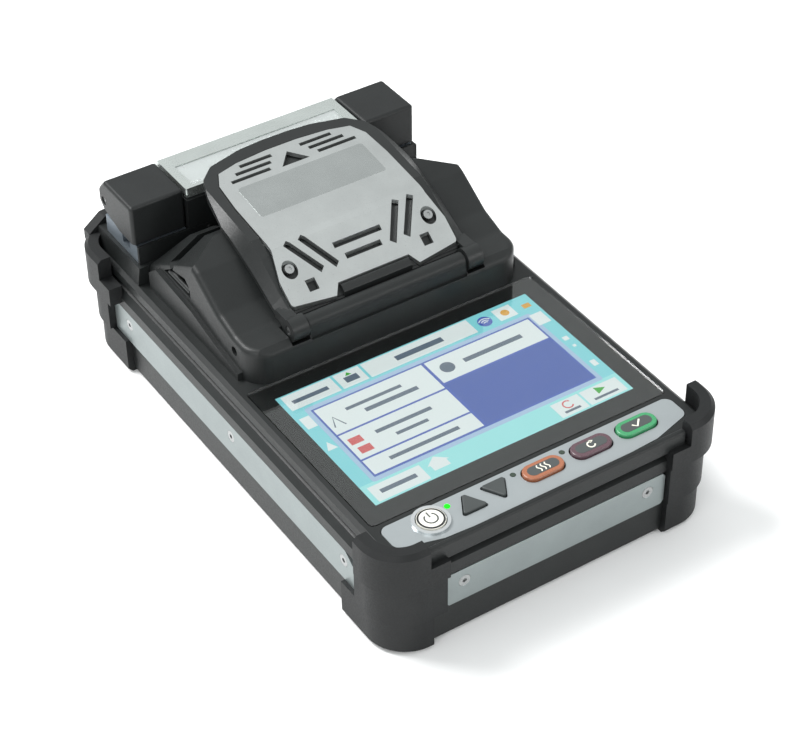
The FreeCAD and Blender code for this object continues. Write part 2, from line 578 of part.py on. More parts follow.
def splice_housing():
    rail_side = [(3.0, "deck_z"), (3.0, 42.2), (17.6, 44.6), (33.0, 48.4), (57.0, 50.4), (62.4, 46.0),
                 (62.4, "deck_z")]
    rail = prism("rail_right", "yz", rail_side, "hood_half-1", "hood_half+1.8")
    rail_left = mirrored("rail_left", rail)
    barrel = cylinder("hinge_barrel", "hinge_radius", "2*hinge_half", ("-hinge_half", 0, "hinge_z"), "x")
    web = box("hinge_web", ("-hinge_half", "hinge_half"), (-3.0, 2.6), ("hinge_z-6", "hinge_z"))
    chamber = box("chamber", ("-chamber_half", "chamber_half"), ("chamber_front", "chamber_rear"),
                  ("chamber_floor", 80.0))
    shaft = box("stage_shaft", (-25.0, 25.0), (15.0, 53.0), ("deck_z-1", "chamber_floor+1"))
    clear = box("frame_clear", ("-hinge_half", "hinge_half"), (-6.0, "chamber_front+1"), ("hinge_z-4.2", 80.0))
    bare = cut("hood_bare", union("hood_solid", hood_form(), rail, rail_left), chamber, shaft, clear)
    tools = []
    for side, low, high in (("right", "hinge_half+0.3", "boss_half+0.6"), ("left", "-boss_half-0.6",
                                                                          "-hinge_half-0.3")):
        tools.append(cylinder("boss_room_" + side, 5.2, span(low, high), (low, 0, "hinge_z"), "x"))
        tools.append(box("boss_cut_" + side, (low, high), (-6.0, 9.0), ("hinge_z", 80.0)))
    for side, low, high in (("right", 34.0, 50.5), ("left", -50.5, -34.0)):
        tools.append(box("shoulder_hollow_" + side, (low, high), (2.0, 57.5), ("deck_z-1", 50.5)))
    for side, low, high in (("right", 29.0, 56.0), ("left", -56.0, -29.0)):
        tools.append(box("fibre_groove_" + side, (low, high), ("fibre_y-groove_width/2", "fibre_y+groove_width/2"),
                         ("fibre_z-2", 80.0)))
    strap = prism("strap_slot_right", "yz", [(36.0, 51.0), (36.0, 55.0), (39.0, 57.4), (48.5, 55.4), (54.0, 51.6)],
                  50.8, 56.0)
    tools += [strap, mirrored("strap_slot_left", strap)]
    eye = cylinder("shoulder_eye_right", 1.7, 3.0, ("hood_half-2", 7.5, 48.0), "x")
    tools += [eye, mirrored("shoulder_eye_left", eye)]
    pin_hole = cylinder("barrel_hole", "pin_radius", "2*boss_half", ("-boss_half", 0, "hinge_z"), "x")
    housing = cut("hood_cut", union("hood_with_hinge", cut("hood_open", bare, *tools), barrel, web), pin_hole)
    return node("splice_housing", housing)


def strap_bars():
    bar = cylinder("strap_bar_right", 1.0, 14.0, (51.9, 37.0, 52.6), "y")
    return node("strap_bars", both_sides("strap_bars", bar))


# ---- wind cover ----------------------------------------------------------------------------

# Each station of the cover frame's side wall: y, lower edge, upper edge inside, upper edge outside.
FRAME_SIDE = (
    (4.2, 53.4, 57.2, 55.2), (10.0, 55.8, 60.0, 57.6), (16.0, 58.8, 63.9, 60.6), (22.0, 61.8, 67.8, 63.6),
    (28.5, 64.4, 70.9, 66.2), (36.0, 67.4, 71.9, 69.0), (44.0, 69.4, 73.0, 71.0), (54.0, 71.2, 74.3, 73.0),
    (62.0, 72.4, 75.3, 74.4), (69.6, 73.8, 76.6, 75.6),
)
PLATE_SIDE = ((3.0, 57.0), (21.5, 70.3), (24.0, 71.0), (62.0, 75.5), (65.5, 75.9))


def plate_outline(grow):
    """Plan of the cover plate: shield shape with a bowed rear edge."""
    half = [(32.2 + grow, 5.0 - grow), (32.2 + grow, 12.5), (29.8 + grow, 21.0), (29.8 + grow, 44.0),
            (28.9 + grow, 56.0), (26.0 + grow, 61.6 + grow * 0.6), (18.0, 63.6 + grow), (6.0, 64.6 + grow)]
    other = [(-x, y) for x, y in reversed(half)]
    return half, other


def cover_frame():
    lower = [(y, low) for y, low, inside, outside in FRAME_SIDE]
    inner = [(y, inside) for y, low, inside, outside in reversed(FRAME_SIDE)]
    outer = [(y, outside) for y, low, inside, outside in reversed(FRAME_SIDE)]
    middle = prism("frame_middle", "yz", lower + inner, "-frame_inner", "frame_inner")
    right = ruled("frame_right", lower + inner, "frame_inner", lower + outer, "frame_outer")
    half = [("frame_outer+1", -8.0), ("frame_outer+1", 36.0), ("frame_outer-2.2", 54.0), (32.0, 61.5),
            (26.6, 66.2), (14.0, 69.0), (5.0, 69.6)]
    other = [(minus(x), y) for x, y in reversed(half)]
    plan = prism("frame_plan", "xy", half + other, 45.0, 82.0)
    soften(plan, "Fillet", 3.0, lambda edge: along("z")(edge) and edge.BoundBox.YMin > 50)
    form = common("frame_form", union("frame_solid", middle, right, mirrored("frame_left", right)), plan)
    hole_half, hole_other = plate_outline(-1.6)
    hole = prism("frame_hole", "xy", hole_half + hole_other, 45.0, 85.0)
    seat_half, seat_other = plate_outline(0.25)
    seat_front = [(-30.0, 2.9), (30.0, 2.9)]
    seat_plan = prism("plate_seat_plan", "xy", seat_half + seat_other + seat_front, 45.0, 85.0)
    seat_side = [(y, z - 1.7) for y, z in PLATE_SIDE] + [(65.5, 90.0), (3.0, 90.0)]
    seat = common("plate_seat", prism("plate_seat_side", "yz", seat_side, -40.0, 40.0), seat_plan)
    sill = prism("frame_sill", "yz", [(3.5, 54.8), (7.2, 54.8), (7.2, 58.0), (3.5, 55.4)], -31.5, 31.5)
    nose = prism("frame_nose", "yz", [(3.5, 54.8), (6.3, 54.8), (6.3, 59.2), (5.2, 58.8), (3.5, 57.4)],
                 -13.2, 13.2)
    soften(nose, "Fillet", 0.5, lambda edge: along("x")(edge) and edge.BoundBox.ZMin > 56)
    bosses = []
    for side, low, high in (("right", "hinge_half+0.6", "boss_half"), ("left", "-boss_half", "-hinge_half-0.6")):
        bosses.append(cylinder("cover_boss_" + side, 4.0, span(low, high), (low, 0, "hinge_z"), "x"))
    for side, low, high in (("right", "hinge_half+2.1", "boss_half"), ("left", "-boss_half", "-hinge_half-2.1")):
        bosses.append(box("cover_arm_" + side, (low, high), (0.0, 8.0), ("hinge_z+0.4", "hinge_z+3.6")))
    ring = union("frame_ring", cut("frame_cut", form, hole, seat), sill, nose, *bosses)
    pin = cylinder("cover_pin_hole", "pin_radius+pin_play", "2*boss_half+4", ("-boss_half-2", 0, "hinge_z"), "x")
    room = cylinder("barrel_room", "hinge_radius+0.4", "2*hinge_half+0.8", ("-hinge_half-0.4", 0, "hinge_z"), "x")
    return node("cover_frame", cut("cover_frame", ring, pin, room))


def cover_plate():
    top = list(PLATE_SIDE)
    under = [(y, z - 1.5) for y, z in reversed(PLATE_SIDE)]
    sheet_metal = prism("plate_side", "yz", top + under, "-plate_half-1", "plate_half+1")
    half, other = plate_outline(0.0)
    notch = [(-16.2, 3.4), (-13.7, 6.6), (13.7, 6.6), (16.2, 3.4)]
    plan = prism("plate_plan", "xy", half + other + notch, 45.0, 85.0)
    soften(plan, "Fillet", 1.2, lambda edge: along("z")(edge) and abs(edge.BoundBox.XMax) > 28
           and edge.BoundBox.YMax < 22)
    blank = common("plate_blank", sheet_metal, plan)
    tall = (50.0, 90.0)
    cuts = []
    for i, side in enumerate((-1, 1)):
        cuts.append(slot("slot_outer_%d" % i, (side * 24.4, 21.9), (side * 16.4, 11.5), "slot_width", tall))
        cuts.append(slot("slot_inner_%d" % i, (side * 18.7, 22.1), (side * 10.8, 11.3), "slot_width", tall))
        for row in range(3):
            y = 61.4 - 2.9 * row
            cuts.append(slot("slot_top_%d_%d" % (i, row), (side * (5.6 + 1.9 * row), y),
                             (side * (18.0 + 3.2 * row), y), 1.5, tall))
        cuts.append(box("square_hole_%d" % i, (side * 22.3 - 1.8, side * 22.3 + 1.8), (7.0, 10.4), tall))
        cuts.append(cylinder("screw_window_%d" % i, 2.7, 40.0, (side * 27.0, 14.6, 50.0)))
    cuts.append(slot("slot_mid_0", (-9.2, 16.4), (9.2, 16.4), 1.7, tall))
    cuts.append(slot("slot_mid_1", (-6.9, 12.5), (6.9, 12.5), 1.7, tall))
    cuts.append(prism("arrow_window", "xy", [(-5.4, 54.4), (5.4, 54.4), (0.0, 60.6)], *tall))
    return node("cover_plate", cut("cover_plate", blank, *cuts))


def cover_inside():
    """Inner tray below the plate, its two screws and the soft seal round the chamber."""
    drop = 2.0
    thick = 1.5
    top = [(7.4, 58.1)] + [(y, z - drop) for y, z in PLATE_SIDE[1:4]]
    under = [(y, z - thick) for y, z in reversed(top)]
    half, other = plate_outline(-2.0)
    tray = common("tray_form", prism("tray_side", "yz", top + under, -32.0, 32.0),
                  prism("tray_plan", "xy", half + other, 45.0, 85.0))
    node("cover_tray", tray)
    slope = math.degrees(math.atan2(70.3 - 57.0, 21.5 - 3.0))
    turn = FreeCAD.Rotation(FreeCAD.Vector(1, 0, 0), slope)
    screws = []
    for i, side in enumerate((-1, 1)):
        head = cone("cover_screw_%d" % i, 1.9, 1.6, 1.5, (side * 27.0, 15.6, 64.4), turn)
        drive = cone("cover_drive_%d" % i, 0.8, 0.8, 1.2, (side * 27.0, 15.0, 65.3), turn)
        screws.append(cut("cover_screw_cut_%d" % i, head, drive))
    node("cover_screws", group("cover_screws", *screws))
    seal_side = [(28.0, 64.6), (28.0, 67.6), (57.0, 71.1), (57.0, 67.8), (40.0, 67.4)]
    outer = prism("seal_outer", "yz", seal_side, -27.6, 27.6)
    inner = box("seal_inner", (-26.0, 26.0), (29.6, 60.0), (50.0, 80.0))
    node("cover_seal", cut("cover_seal", outer, inner))


def cover_hinge_pin():
    return node("cover_hinge_pin", cylinder("cover_hinge_pin", "pin_radius", "2*boss_half-0.6",
                                            ("0.3-boss_half", 0, "hinge_z"), "x"))


# ---- splice mechanism ----------------------------------------------------------------------

def splice_mechanism():
    plate = rounded("stage_plate", (-29.5, 29.5), (9.0, 59.0), ("chamber_floor", "stage_top"), 3.0)
    node("stage_plate", plate)
    block = box("v_block", (3.6, 9.0), ("fibre_y-4", "fibre_y+4"), ("stage_top", "fibre_z+0.3"))
    groove = prism("v_groove", "yz", [("fibre_y-0.6", "fibre_z+0.4"), ("fibre_y", "fibre_z-0.4"),
                                      ("fibre_y+0.6", "fibre_z+0.4")], 3.0, 10.0)
    node("v_groove_blocks", both_sides("v_groove_blocks", cut("v_block_cut", block, groove)))
    toward_rear = FreeCAD.Rotation(FreeCAD.Vector(1, 0, 0), -90)
    front = union("electrode_front", cylinder("electrode_rod", 0.7, 9.0, (0, 38.0, "fibre_z"), "y"),
                  cone("electrode_tip", 0.7, 0.1, 2.0, (0, 47.0, "fibre_z"), toward_rear))
    toward_front = FreeCAD.Rotation(FreeCAD.Vector(1, 0, 0), 90)
    rear = union("electrode_rear", cylinder("electrode_rod_rear", 0.7, 6.5, (0, 53.0, "fibre_z"), "y"),
                 cone("electrode_tip_rear", 0.7, 0.1, 2.0, (0, 53.0, "fibre_z"), toward_front))
    node("electrodes", group("electrodes", front, rear))
    holders = []
    for name, ys in (("front", (37.0, 43.0)), ("rear", (55.0, 59.5))):
        holder = box("holder_" + name, (-2.8, 2.8), ys, ("stage_top", "fibre_z+2"))
        bore = cylinder("holder_bore_" + name, 0.7, 30.0, (0, 35.0, "fibre_z"), "y")
        holders.append(cut("holder_cut_" + name, holder, bore))
    node("electrode_holders", group("electrode_holders", *holders))
    node("objectives", group("objectives", *[
        cylinder("objective_%d" % i, 1.7, 4.5, (0, y, "stage_top")) for i, y in enumerate((47.6, 52.4))]))
    stage = box("stage_block", (10.6, 28.2), (42.6, 57.6), ("stage_top+0.1", "fibre_z-3.4"))
    lugs = [box("stage_lug_%d" % i, xs, (53.6, 57.6), ("fibre_z-4", "fibre_z")) for i, xs in
            enumerate(((10.6, 12.4), (26.4, 28.2)))]
    pin = cylinder("stage_pin", 0.9, 17.6, (10.6, 55.6, "fibre_z-1.4"), "x")
    right = union("fibre_stage_right", stage, *lugs, pin)
    node("fibre_stage_right", right)
    node("fibre_stage_left", mirrored("fibre_stage_left", right))
    lid = box("sheath_lid", (12.8, 26.0), (44.6, 57.0), ("fibre_z-3.1", "fibre_z+1.6"))
    bore = cylinder("sheath_bore", "0.9+pin_play", 20.0, (9.0, 55.6, "fibre_z-1.4"), "x")
    clear = prism("sheath_clear", "yz", [(55.6, 53.0), (55.6, 53.9), (57.6, 54.8), (57.6, 53.0)], 9.0, 29.0)
    clamp = cut("sheath_clamp_right", lid, bore, clear)
    node("sheath_clamp_right", clamp)
    node("sheath_clamp_left", mirrored("sheath_clamp_left", clamp))


# ---- heater --------------------------------------------------------------------------------

def heater():
    base = box("heater_block", (-35.8, 35.8), ("heater_front-1.2", 84.0), ("rear_deck_z", 65.0))
    wall_plate = box("heater_wall", (-55.6, 55.6), ("heater_front-1.4", "heater_front-0.4"), ("rear_deck_z", 53.6))
    lug = box("rod_lug", (-5.0, 5.0), (83.0, 91.0), ("rear_deck_z", "rod_z+3"))
    trough = box("trough", (-40.0, 40.0), ("trough_y-4", "trough_y+4"), (50.5, 70.0))
    lug_hole = cylinder("lug_hole", "pin_radius", 20.0, (-10.0, "rod_y", "rod_z"), "x")
    node("heater_base", cut("heater_base", union("heater_solid", base, wall_plate, lug), trough, lug_hole))
    liner = box("liner", (-35.0, 35.0), ("trough_y-3.9", "trough_y+3.9"), (50.5, 57.0))
    liner_gap = box("liner_gap", (-40.0, 40.0), ("trough_y-2.9", "trough_y+2.9"), (51.5, 66.0))
    node("heater_element", cut("heater_element", liner, liner_gap))
    bracket = box("bracket_block", ("clamp_near+0.2", 55.4), ("heater_front+0.2", 91.0), ("rear_deck_z", 53.4))
    ear = box("bracket_ear", (43.0, 50.0), (85.0, 91.0), (53.0, "rod_z+3"))
    ear_hole = cylinder("ear_hole", "pin_radius", 20.0, (38.0, "rod_y", "rod_z"), "x")
    groove = box("bracket_groove", (30.0, 60.0), ("trough_y-2.6", "trough_y+2.6"), (49.0, 60.0))
    bracket_right = cut("bracket_right", union("bracket_solid", bracket, ear), ear_hole, groove)
    node("heater_brackets", both_sides("heater_brackets", bracket_right))
    node("heater_rod", cylinder("heater_rod", "pin_radius", "2*clamp_far-1", ("0.5-clamp_far", "rod_y", "rod_z"), "x"))
    plate = rounded("lid_plate", ("-lid_half", "lid_half"), ("heater_front", 88.5), (66.2, "heater_top-0.2"), 1.0)
    skirt_side = [(85.0, 66.4), (85.0, 60.0), (86.5, 58.2), (90.4, 58.2), (91.6, 60.0), (91.6, 66.2), (88.8, 69.0),
                  (85.0, 69.0)]
    skirt = prism("lid_skirt", "yz", skirt_side, "-lid_half", "lid_half")
    lip = box("lid_lip", ("-lid_half", "lid_half"), ("heater_front", "heater_front+1.4"), (65.3, 66.6))
    window = box("lid_window", (-32.0, 32.0), ("heater_front+1.6", 82.2), (60.0, 80.0))
    lug_gap = box("lug_gap", (-5.4, 5.4), (80.0, 95.0), (50.0, "rod_z+5.2"))
    rod_hole = cylinder("lid_rod_hole", "pin_radius+pin_play", 100.0, (-50.0, "rod_y", "rod_z"), "x")
    node("heater_lid", cut("heater_lid", union("lid_solid", plate, skirt, lip), window, lug_gap, rod_hole))
    node("heater_window", box("heater_window", (-32.0, 32.0), ("heater_front+1.6", 82.2), (66.8, 68.6)))
    side = [("heater_front", 54.2), (78.2, 54.4), (88.8, 57.4), (91.4, 60.0), (91.4, 65.6), (88.0, "heater_top"),
            ("heater_front", "heater_top")]
    blank = prism("clamp_blank", "yz", side, "clamp_near", "clamp_far")
    soften(blank, "Fillet", 1.3, lambda edge: edge.BoundBox.ZMin > 65 or (
        along("z")(edge) and edge.BoundBox.YMax < 69))
    hole = cylinder("clamp_rod_hole", "pin_radius+pin_play", 40.0, (30.0, "rod_y", "rod_z"), "x")
    ear_gap = box("ear_gap", (42.6, 50.4), (81.6, 95.0), (50.0, "rod_z+5.2"))
    right = cut("heater_clamp_right", blank, hole, ear_gap)
    node("heater_clamp_right", right)
    node("heater_clamp_left", mirrored("heater_clamp_left", right))


# ---- power, ports and electronics ----------------------------------------------------------

def battery():
    pack = rounded("pack_block", ("bay_gap-bay_half", "bay_half-bay_gap"), ("bay_front+bay_gap", "case_end"),
                   ("bay_low+bay_gap", "bay_high-bay_gap"), 2.0)
    node("battery_pack", pack)
    plate = prism("end_plate_blank", "xz", rectangle((-41.0, 41.0), (3.4, 25.8)), "case_end+0.3", "case_end+1.8")
    soften(plate, "Fillet", 2.0, along("y"))
    neck = box("end_plate_neck", (-36.0, 36.0), ("case_end", "case_end+0.4"), (6.0, 22.0))
    seat = box("latch_seat", (-8.0, 8.0), ("case_end+0.9", "case_end+2"), (17.0, 23.0))
    node("battery_end_plate", cut("battery_end_plate", union("end_plate_solid", plate, neck), seat))
    thumb = box("latch_thumb", (-7.6, 3.0), ("case_end+0.95", "case_end+2.6"), (17.4, 22.6))
    grips = [box("latch_grip_%d" % i, (x, x + 0.8), ("case_end+2.1", "case_end+3"), (17.0, 23.0))
             for i, x in enumerate((-6.0, -4.0, -2.0, 0.0))]
    node("battery_latch", cut("battery_latch", thumb, *grips))


def ports():
    shell = cylinder("jack_shell", 2.9, 5.0, (-9.0, "case_end-5", "split_z+6"), "y")
    bore = cylinder("jack_bore", 2.3, 5.0, (-9.0, "case_end-3.8", "split_z+6"), "y")
    pin = cylinder("jack_pin", 0.7, 4.0, (-9.0, "case_end-4.4", "split_z+6"), "y")
    jack = union("dc_jack", cut("jack_tube", shell, bore), pin)
    node("dc_jack", jack)
    frame = box("usb_frame", (1.0, 10.0), ("case_end-5", "case_end-0.6"), ("split_z+4.2", "split_z+7.8"))
    mouth = box("usb_mouth", (1.5, 9.5), ("case_end-4.2", "case_end"), ("split_z+4.7", "split_z+7.3"))
    tongue = box("usb_tongue", (2.2, 8.8), ("case_end-4.6", "case_end-1.2"), ("split_z+6.1", "split_z+6.8"))
    node("usb_socket", union("usb_socket", cut("usb_tube", frame, mouth), tongue))
    flap = prism("flap_blank", "xz", rectangle((-16.2, 16.2), ("split_z+1.6", "split_z+10.4")),
                 "case_end+0.15", "case_end+1.7")
    soften(flap, "Fillet", 1.5, along("y"))
    tab = box("flap_tab", (-4.0, 4.0), ("case_end+1.5", "case_end+2.4"), ("split_z+8.4", "split_z+9.6"))
    node("port_cover", union("port_cover", flap, tab))


def circuit_boards():
    main = box("main_board", (-45.0, 45.0), (-76.0, 12.0), ("split_z+1.2", "split_z+2.8"))
    keypad = box("keypad_board", (-47.0, 47.0), (-91.8, -81.4), ("key_foot-4", "key_foot-2.4"))
    return node("circuit_boards", group("circuit_boards", main, keypad))


def build():
    solid = upper_solid()
    lower = lower_case()
    envelope = rounded("lower_keep_out", ("-case_half", "case_half"), ("-case_front", "case_end"),
                       ("base_z", "split_z"), "case_round")
    strips_and_screws()
    case_screws()
    tripod_insert()
    upper_case(solid)
    for name, inner_x, quadrant in (
            ("corner_bumper_front_left", 47.0, (-1, -1)), ("corner_bumper_front_right", 42.4, (1, -1)),
            ("corner_bumper_rear_left", 47.0, (-1, 1)), ("corner_bumper_rear_right", 47.0, (1, 1))):
        corner_bumper(name, inner_x, quadrant, (envelope, solid))
    for name, rear, left in (("corner_guard_front_left", False, True), ("corner_guard_front_right", False, False),
                             ("corner_guard_rear_left", True, True), ("corner_guard_rear_right", True, False)):
        corner_guard(name, rear, left, (solid,))
    display()
    keys_and_panel()
    splice_housing()
    strap_bars()
    cover_frame()
    cover_plate()
    cover_inside()
    cover_hinge_pin()
    splice_mechanism()
    heater()
    battery()
    ports()
    circuit_boards()


def write_parts():
    doc.recompute()
    for obj in doc.Objects:
        if "Invalid" in obj.State or "Error" in obj.State:
            raise RuntimeError("%s: %s" % (obj.Name, obj.State))
    os.makedirs("parts", exist_ok=True)
    for obj in NODES:
        if obj.Shape.isNull() or not obj.Shape.isValid():
            raise RuntimeError("bad shape: " + obj.Label)
        obj.Shape.exportStep("parts/%s.step" % obj.Label)


build()
write_parts()
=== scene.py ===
import json
import math

import bpy
from mathutils import Matrix, Vector


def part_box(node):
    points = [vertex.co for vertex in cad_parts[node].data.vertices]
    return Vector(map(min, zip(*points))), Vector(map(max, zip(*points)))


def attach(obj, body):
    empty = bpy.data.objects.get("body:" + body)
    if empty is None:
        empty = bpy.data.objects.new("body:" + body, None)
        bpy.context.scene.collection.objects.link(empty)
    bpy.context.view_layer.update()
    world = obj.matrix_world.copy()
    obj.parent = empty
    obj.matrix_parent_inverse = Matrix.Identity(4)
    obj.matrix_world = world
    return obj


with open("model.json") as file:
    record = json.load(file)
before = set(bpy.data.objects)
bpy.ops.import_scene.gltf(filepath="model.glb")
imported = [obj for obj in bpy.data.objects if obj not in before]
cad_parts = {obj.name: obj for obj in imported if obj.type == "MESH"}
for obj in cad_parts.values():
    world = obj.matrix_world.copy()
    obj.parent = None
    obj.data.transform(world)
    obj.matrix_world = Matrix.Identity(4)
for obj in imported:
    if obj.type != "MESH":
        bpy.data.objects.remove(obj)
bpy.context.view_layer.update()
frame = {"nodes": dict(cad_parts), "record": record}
nodes = frame["nodes"]

MM = 0.001
DISPLAY_GAMMA = 2.2


# ---- materials -----------------------------------------------------------------------------

def new_material(name):
    mat = bpy.data.materials.new(name)
    mat.use_nodes = True
    tree = mat.node_tree
    return mat, tree, tree.nodes["Principled BSDF"]


def texture_space(tree, stretch=(1, 1, 1)):
    coords = tree.nodes.new("ShaderNodeTexCoord")
    mapping = tree.nodes.new("ShaderNodeMapping")
    mapping.inputs["Scale"].default_value = stretch
    tree.links.new(coords.outputs["Object"], mapping.inputs["Vector"])
    return mapping.outputs["Vector"]


def noise(tree, space, size, detail=3.0, roughness=0.6):
    node = tree.nodes.new("ShaderNodeTexNoise")
    node.inputs["Scale"].default_value = 1.0 / size
    node.inputs["Detail"].default_value = detail
    node.inputs["Roughness"].default_value = roughness
    tree.links.new(space, node.inputs["Vector"])
    return node.outputs["Fac"]


def ramp(tree, factor, low, high, start=0.3, end=0.7):
    node = tree.nodes.new("ShaderNodeValToRGB")
    node.color_ramp.elements[0].position = start
    node.color_ramp.elements[1].position = end
    node.color_ramp.elements[0].color = (*low, 1)
    node.color_ramp.elements[1].color = (*high, 1)
    tree.links.new(factor, node.inputs["Fac"])
    return node.outputs["Color"]


def spread(tree, factor, low, high):
    node = tree.nodes.new("ShaderNodeMapRange")
    node.inputs["From Min"].default_value = 0.3
    node.inputs["From Max"].default_value = 0.7
    node.inputs["To Min"].default_value = low
    node.inputs["To Max"].default_value = high
    tree.links.new(factor, node.inputs["Value"])
    return node.outputs["Result"]


def surface(name, color, rough, metal=0.0, grain=0.5 * MM, depth=0.02 * MM, vary=0.12, stretch=(1, 1, 1),
            specular=0.5, coat=0.0, rough_vary=0.06):
    """A solid material: broad colour drift, fine grain in bump, and uneven roughness."""
    mat, tree, bsdf = new_material(name)
    space = texture_space(tree, stretch)
    drift = noise(tree, space, 14 * MM, 4.0)
    low = tuple(c * (1 - vary) for c in color)
    high = tuple(min(1.0, c * (1 + vary)) for c in color)
    tree.links.new(ramp(tree, drift, low, high), bsdf.inputs["Base Color"])
    fine = noise(tree, space, grain, 2.0)
    tree.links.new(spread(tree, fine, rough - rough_vary, rough + rough_vary), bsdf.inputs["Roughness"])
    bump = tree.nodes.new("ShaderNodeBump")
    bump.inputs["Strength"].default_value = 1.0
    bump.inputs["Distance"].default_value = depth
    tree.links.new(fine, bump.inputs["Height"])
    tree.links.new(bump.outputs["Normal"], bsdf.inputs["Normal"])
    bsdf.inputs["Metallic"].default_value = metal
    bsdf.inputs["Specular IOR Level"].default_value = specular
    bsdf.inputs["Coat Weight"].default_value = coat
    bsdf.inputs["Coat Roughness"].default_value = 0.15
    return mat


def lit(name, color, strength):
    """A lit area of the display, its colour given as it shows, with a faint grain."""
    mat, tree, bsdf = new_material(name)
    color = tuple(c ** DISPLAY_GAMMA for c in color)
    grain = noise(tree, texture_space(tree), 0.35 * MM, 1.0)
    low = tuple(c * 0.97 for c in color)
    colour = ramp(tree, grain, low, color)
    tree.links.new(colour, bsdf.inputs["Emission Color"])
    bsdf.inputs["Base Color"].default_value = (0.02, 0.02, 0.02, 1)
    bsdf.inputs["Emission Strength"].default_value = strength
    bsdf.inputs["Roughness"].default_value = 0.6
    bsdf.inputs["Specular IOR Level"].default_value = 0.0
    return mat


def clear(name, tint, rough, passing=1.0):
    """Clear moulded window or glass, with slight unevenness; less light passes through a frosted one."""
    mat, tree, bsdf = new_material(name)
    haze = noise(tree, texture_space(tree), 9 * MM, 3.0)
    tree.links.new(spread(tree, haze, rough * 0.7, rough * 1.3), bsdf.inputs["Roughness"])
    bsdf.inputs["Base Color"].default_value = (*tint, 1)
    bsdf.inputs["Transmission Weight"].default_value = passing
    bsdf.inputs["IOR"].default_value = 1.49
    return mat


MATS = {
    "case_black": surface("case_black", (0.0115, 0.0130, 0.0130), 0.42, grain=0.45 * MM, depth=0.035 * MM,
                          vary=0.12,
                          specular=0.32),
    "bumper_rubber": surface("bumper_rubber", (0.0100, 0.0108, 0.0112), 0.50, grain=0.6 * MM,
                             depth=0.03 * MM,
                             vary=0.16, specular=0.26),
    "strip_metal": surface("strip_metal", (0.27, 0.305, 0.305), 0.38, metal=0.7, grain=0.3 * MM,
                           depth=0.006 * MM,
                           vary=0.05),
    "screw_steel": surface("screw_steel", (0.42, 0.43, 0.43), 0.30, metal=1.0, grain=0.3 * MM,
                           depth=0.004 * MM),
    "insert_brass": surface("insert_brass", (0.66, 0.46, 0.2), 0.32, metal=1.0, grain=0.3 * MM,
                            depth=0.004 * MM),
    "screen_glass": clear("screen_glass", (0.98, 1.0, 0.99), 0.02),
    "screen_module": surface("screen_module", (0.007, 0.008, 0.008), 0.60, vary=0.05, depth=0.0,
                             specular=0.1),
    "key_panel_grey": surface("key_panel_grey", (0.36, 0.39, 0.40), 0.34, metal=0.6, grain=0.25 * MM,
                              depth=0.006 * MM, vary=0.04),
    "power_chrome": surface("power_chrome", (0.75, 0.77, 0.78), 0.14, metal=1.0, depth=0.001 * MM,
                            vary=0.03),
    "power_white": surface("power_white", (0.74, 0.73, 0.66), 0.35, depth=0.002 * MM, vary=0.03),
    "arrow_dark": surface("arrow_dark", (0.040, 0.046, 0.046), 0.45, grain=0.3 * MM, depth=0.01 * MM,
                          vary=0.08),
    "heat_orange": surface("heat_orange", (0.30, 0.105, 0.05), 0.30, depth=0.003 * MM, vary=0.06, coat=0.3),
    "reset_purple": surface("reset_purple", (0.085, 0.043, 0.055), 0.30, depth=0.003 * MM, vary=0.06,
                            coat=0.3),
    "set_green": surface("set_green", (0.035, 0.25, 0.10), 0.30, depth=0.003 * MM, vary=0.06, coat=0.3),
    "lamp_green": surface("lamp_green", (0.020, 0.035, 0.022), 0.20, depth=0.001 * MM, vary=0.1, coat=0.4),
    "cover_black": surface("cover_black", (0.013, 0.0145, 0.0145), 0.38, grain=0.45 * MM, depth=0.03 * MM,
                           vary=0.12,
                           specular=0.36),
    "cover_silver": surface("cover_silver", (0.50, 0.52, 0.515), 0.33, metal=0.95, grain=0.25 * MM,
                            depth=0.008 * MM,
                            vary=0.06),
    "stage_steel": surface("stage_steel", (0.5, 0.51, 0.52), 0.38, metal=0.95, grain=0.3 * MM,
                           depth=0.008 * MM,
                           vary=0.06, stretch=(0.15, 1, 1)),
    "block_ceramic": surface("block_ceramic", (0.8, 0.8, 0.78), 0.5, depth=0.003 * MM, vary=0.03),
    "electrode_metal": surface("electrode_metal", (0.45, 0.43, 0.4), 0.28, metal=1.0, depth=0.003 * MM),
    "lens_black": surface("lens_black", (0.01, 0.01, 0.02), 0.06, depth=0.0005 * MM, coat=0.8),
    "clamp_black": surface("clamp_black", (0.0105, 0.0118, 0.0120), 0.44, grain=0.45 * MM, depth=0.035 * MM,
                           vary=0.14, specular=0.32),
    "heater_metal": surface("heater_metal", (0.58, 0.62, 0.60), 0.30, metal=0.9, grain=0.3 * MM,
                            depth=0.006 * MM,
                            vary=0.05),
    "bracket_metal": surface("bracket_metal", (0.17, 0.20, 0.23), 0.38, metal=0.7, grain=0.3 * MM,
                             depth=0.006 * MM, vary=0.06),
    "heater_glass": clear("heater_glass", (0.80, 0.85, 0.84), 0.22, passing=0.6),
    "port_metal": surface("port_metal", (0.5, 0.5, 0.52), 0.3, metal=1.0, depth=0.003 * MM),
    "board_green": surface("board_green", (0.03, 0.16, 0.06), 0.4, depth=0.01 * MM, vary=0.2),
}
for row in frame["record"]["subparts"]:
    node = nodes[row["node"]]
    node.data.materials.clear()
    node.data.materials.append(MATS[row["material_slot"]])

INK = surface("ink_cream", (0.72, 0.70, 0.60), 0.45, depth=0.002 * MM, vary=0.04)
INLAY = surface("inlay_dark", (0.055, 0.062, 0.062), 0.45, depth=0.004 * MM, vary=0.06)
GLOSS_BLACK = surface("gloss_black", (0.010, 0.011, 0.012), 0.12, depth=0.001 * MM, vary=0.05, coat=0.4)


# ---- mesh helpers --------------------------------------------------------------------------

def rect(x0, y0, x1, y1):
    return [(x0, y0), (x1, y0), (x1, y1), (x0, y1)]


